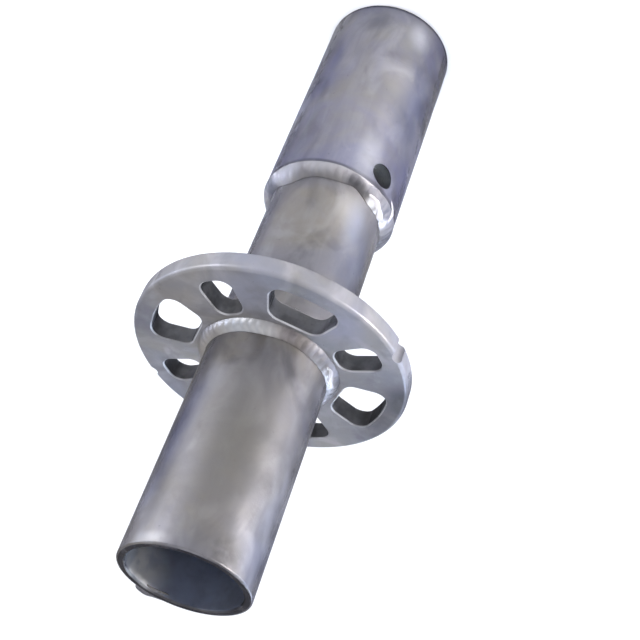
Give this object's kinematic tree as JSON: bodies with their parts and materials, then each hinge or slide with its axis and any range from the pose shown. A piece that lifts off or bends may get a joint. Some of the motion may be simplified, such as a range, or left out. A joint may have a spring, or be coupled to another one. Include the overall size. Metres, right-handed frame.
{
  "type": "scaffold base collar",
  "caption": "Galvanised steel scaffold base collar: a jack tube with a welded rosette ring of wedge holes and a wider socket sleeve for the foot of a standard",
  "frame": {"origin": "centre of the sleeve's open end, which is the foot of the part as it stands here", "axes": "+Z along the tube axis from the sleeve's open end to the jack tube's mouth; +X and +Y through the centres of wide wedge holes"},
  "size_m": [0.109, 0.109, 0.282],
  "materials": {
    "tube_steel": "hot-dip galvanised, dull satin",
    "sleeve_steel": "hot-dip galvanised, dull satin",
    "rosette_steel": "hot-dip galvanised, dull satin",
    "weld_metal": "galvanised weld bead, brighter than the tubes"
  },
  "bodies": {
    "root": {"jack_tube": "tube_steel", "socket_sleeve": "sleeve_steel", "rosette": "rosette_steel", "rosette_mouth_weld": "weld_metal", "rosette_neck_weld": "weld_metal", "sleeve_weld": "weld_metal"}
  },
  "joints": []
}
